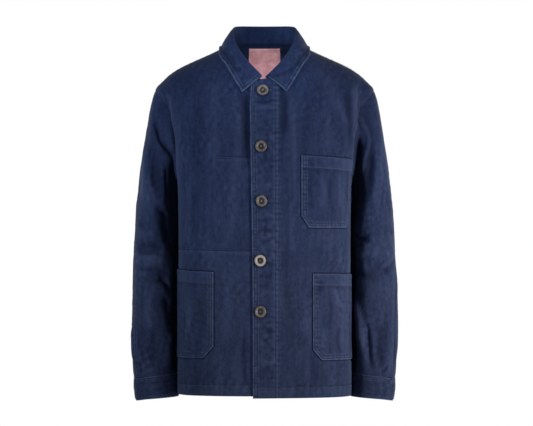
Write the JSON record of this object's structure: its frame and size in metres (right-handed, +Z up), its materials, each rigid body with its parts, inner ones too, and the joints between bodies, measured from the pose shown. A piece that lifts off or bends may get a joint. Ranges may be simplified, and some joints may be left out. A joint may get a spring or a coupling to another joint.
{
  "type": "chore jacket",
  "caption": "Buttoned cotton chore jacket with a turned-down collar, long cuffed sleeves and patch pockets, filled out with no wearer.",
  "frame": {"origin": "middle of the neck opening, level with the collar seam at the centre back, where the wearer carries it", "axes": "+Z up, -Y out of the front, +X to the wearer's left"},
  "size_m": [0.534, 0.2699, 0.7554],
  "materials": {
    "navy_cotton": "matte twill",
    "brown_button": "satin",
    "pink_label": "matte"
  },
  "bodies": {
    "root": {"front_left": "navy_cotton", "front_right": "navy_cotton", "back": "navy_cotton", "collar": "navy_cotton", "sleeve_left_top": "navy_cotton", "sleeve_left_under": "navy_cotton", "sleeve_right_top": "navy_cotton", "sleeve_right_under": "navy_cotton", "cuff_left": "navy_cotton", "cuff_right": "navy_cotton", "pocket_chest": "navy_cotton", "pocket_lower_left": "navy_cotton", "pocket_lower_right": "navy_cotton", "button_1": "brown_button", "button_2": "brown_button", "button_3": "brown_button", "button_4": "brown_button", "button_5": "brown_button", "neck_label": "pink_label"}
  },
  "joints": []
}
